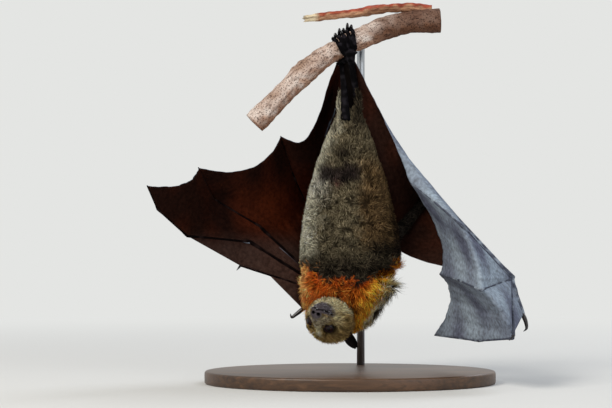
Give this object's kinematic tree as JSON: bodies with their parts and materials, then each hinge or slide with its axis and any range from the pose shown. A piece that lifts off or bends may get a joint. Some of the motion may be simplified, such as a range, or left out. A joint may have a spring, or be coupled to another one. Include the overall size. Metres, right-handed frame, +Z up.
{
  "type": "grey-headed flying fox model on a display stand",
  "caption": "Still fruit bat hanging head down by its feet from a cut branch, wings part open, held up by a plain display stand with a flat oval base.",
  "frame": {"origin": "centre of the underside of the stand's flat base", "axes": "+Z up, opposite to the way the bat hangs; +Y from the belly side to the back; +X to the right of someone who faces the belly"},
  "size_m": [0.4107, 0.2507, 0.4184],
  "materials": {
    "rod_steel": "brushed stainless rod",
    "base_wood": "dark satin-oiled wood plate",
    "bark": "pale pinkish-grey bark with fine brown speckle",
    "peeled_bark": "curled strip of peeled bark, rust outside and cream at the torn end",
    "eye": "very dark brown wet gloss",
    "ear_skin": "thin dark bare skin",
    "head_fur": "short grey-olive fur",
    "mantle_fur": "dense rust to orange fur with pale tips",
    "back_fur": "dark grey-brown fur",
    "belly_fur": "grizzled grey-olive fur",
    "claw": "glossy black horn",
    "wing_membrane": "thin dark reddish-brown wing membrane, bluish grey on its outer face",
    "bare_skin": "bare dark skin over the finger and leg bones"
  },
  "bodies": {
    "root": {"claw_left_1": "claw", "claw_left_2": "claw", "claw_left_3": "claw", "claw_left_4": "claw", "claw_left_5": "claw", "claw_right_1": "claw", "claw_right_2": "claw", "claw_right_3": "claw", "claw_right_4": "claw", "claw_right_5": "claw", "dactylopatagium_2_3_left": "wing_membrane", "dactylopatagium_3_4_left": "wing_membrane", "dactylopatagium_3_4_right": "wing_membrane", "dactylopatagium_4_5_left": "wing_membrane", "dactylopatagium_4_5_right": "wing_membrane", "digit2_claw_left": "claw", "digit2_claw_right": "claw", "digit2_left": "bare_skin", "digit2_right": "bare_skin", "digit3_left": "bare_skin", "digit3_right": "bare_skin", "digit4_left": "bare_skin", "digit4_right": "bare_skin", "digit5_left": "bare_skin", "digit5_right": "bare_skin", "ear_left": "ear_skin", "ear_right": "ear_skin", "eye_left": "eye", "eye_right": "eye", "foot_left": "bare_skin", "foot_right": "bare_skin", "forearm_left": "bare_skin", "forearm_right": "bare_skin", "head": "head_fur", "neck": "mantle_fur", "perch_bark_strip": "peeled_bark", "perch_branch": "bark", "plagiopatagium_inner_left": "wing_membrane", "plagiopatagium_inner_right": "wing_membrane", "plagiopatagium_outer_left": "wing_membrane", "plagiopatagium_outer_right": "wing_membrane", "propatagium_left": "wing_membrane", "propatagium_right": "wing_membrane", "shank_left": "bare_skin", "shank_right": "bare_skin", "shoulders": "back_fur", "stand_base": "base_wood", "stand_rod": "rod_steel", "thigh_left": "belly_fur", "thigh_right": "belly_fur", "thumb_claw_left": "claw", "thumb_claw_right": "claw", "thumb_left": "bare_skin", "thumb_right": "bare_skin", "thumb_web_left": "wing_membrane", "thumb_web_right": "wing_membrane", "trunk": "belly_fur", "upper_arm_left": "belly_fur", "upper_arm_right": "belly_fur", "uropatagium": "wing_membrane"}
  },
  "joints": []
}
